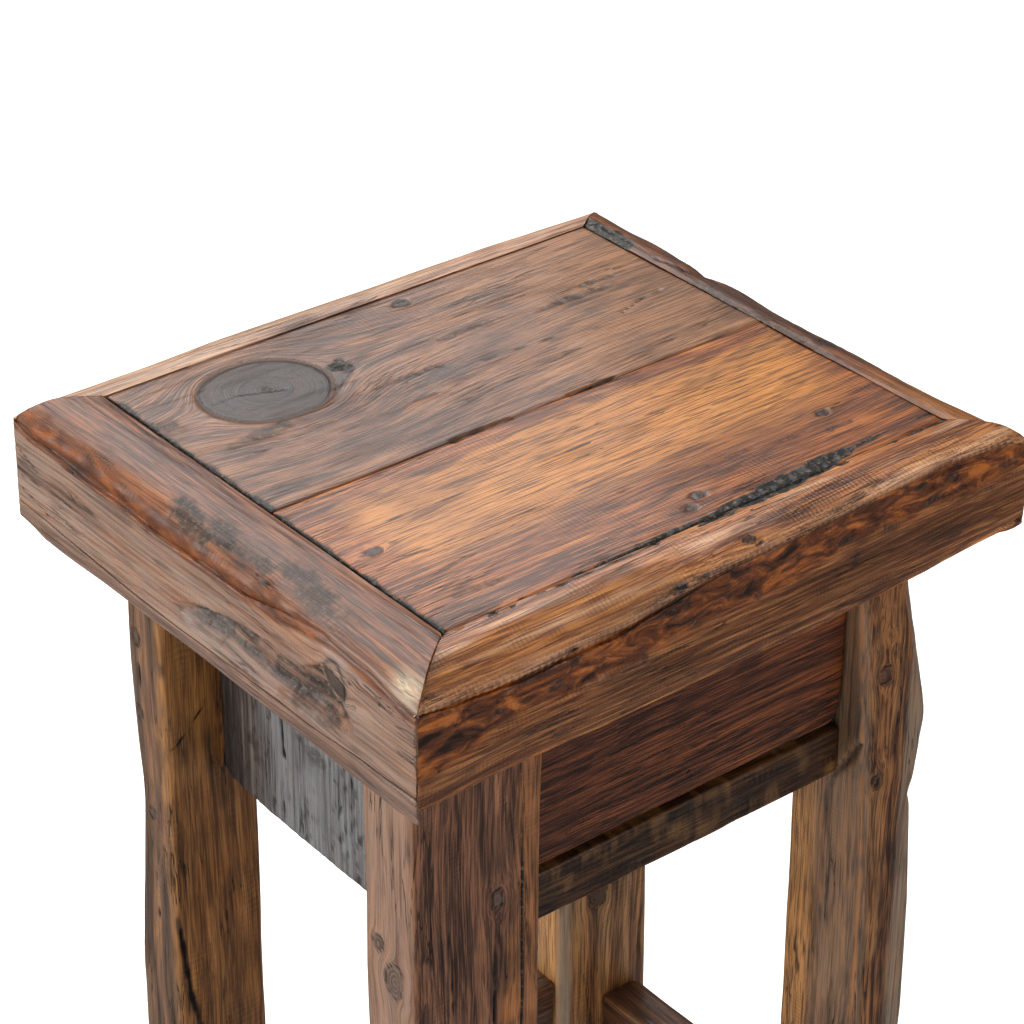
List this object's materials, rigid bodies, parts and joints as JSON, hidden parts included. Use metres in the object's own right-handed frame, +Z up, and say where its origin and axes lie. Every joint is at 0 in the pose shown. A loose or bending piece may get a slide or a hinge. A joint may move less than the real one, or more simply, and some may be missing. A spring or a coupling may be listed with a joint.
{
  "type": "bar stool",
  "caption": "Rustic backless bar stool of thick reclaimed timber, with a mitred seat frame, deep aprons, a footrest and lower stretchers.",
  "frame": {"origin": "on the floor, under the middle of the seat", "axes": "+Z up, the footrest side faces -Y, the seat is wider along X"},
  "size_m": [0.407, 0.35, 0.75],
  "materials": {
    "seat_frame": "stained reclaimed timber with live edges, semi-gloss varnish",
    "seat_boards": "stained softwood boards, semi-gloss varnish",
    "legs": "sawn reclaimed timber, satin varnish",
    "aprons": "dark stained boards, satin varnish",
    "stretchers": "sawn reclaimed timber, satin varnish",
    "inner_wood": "plain sawn pine",
    "screws": "yellow zinc plate"
  },
  "bodies": {
    "root": {"apron_back": "aprons", "apron_front_lower": "aprons", "apron_front_upper": "aprons", "apron_left": "aprons", "apron_right": "aprons", "batten_screw_back_left": "screws", "batten_screw_back_right": "screws", "batten_screw_front_left": "screws", "batten_screw_front_right": "screws", "block_screw_end_back_left": "screws", "block_screw_end_back_right": "screws", "block_screw_end_front_left": "screws", "block_screw_end_front_right": "screws", "block_screw_side_back_left": "screws", "block_screw_side_back_right": "screws", "block_screw_side_front_left": "screws", "block_screw_side_front_right": "screws", "corner_block_back_left": "inner_wood", "corner_block_back_right": "inner_wood", "corner_block_front_left": "inner_wood", "corner_block_front_right": "inner_wood", "footrest_front": "stretchers", "leg_back_left": "legs", "leg_back_right": "legs", "leg_front_left": "legs", "leg_front_right": "legs", "mitre_spline_back_left": "inner_wood", "mitre_spline_back_right": "inner_wood", "mitre_spline_front_left": "inner_wood", "mitre_spline_front_right": "inner_wood", "seat_batten_left": "inner_wood", "seat_batten_right": "inner_wood", "seat_board_back": "seat_boards", "seat_board_front": "seat_boards", "seat_packing_strip": "seat_frame", "seat_rail_back": "seat_frame", "seat_rail_front": "seat_frame", "seat_rail_left": "seat_frame", "seat_rail_right": "seat_frame", "seat_screw_back_left": "screws", "seat_screw_back_right": "screws", "seat_screw_front_left": "screws", "seat_screw_front_right": "screws", "stretcher_back": "stretchers", "stretcher_left": "stretchers", "stretcher_right": "stretchers"}
  },
  "joints": []
}
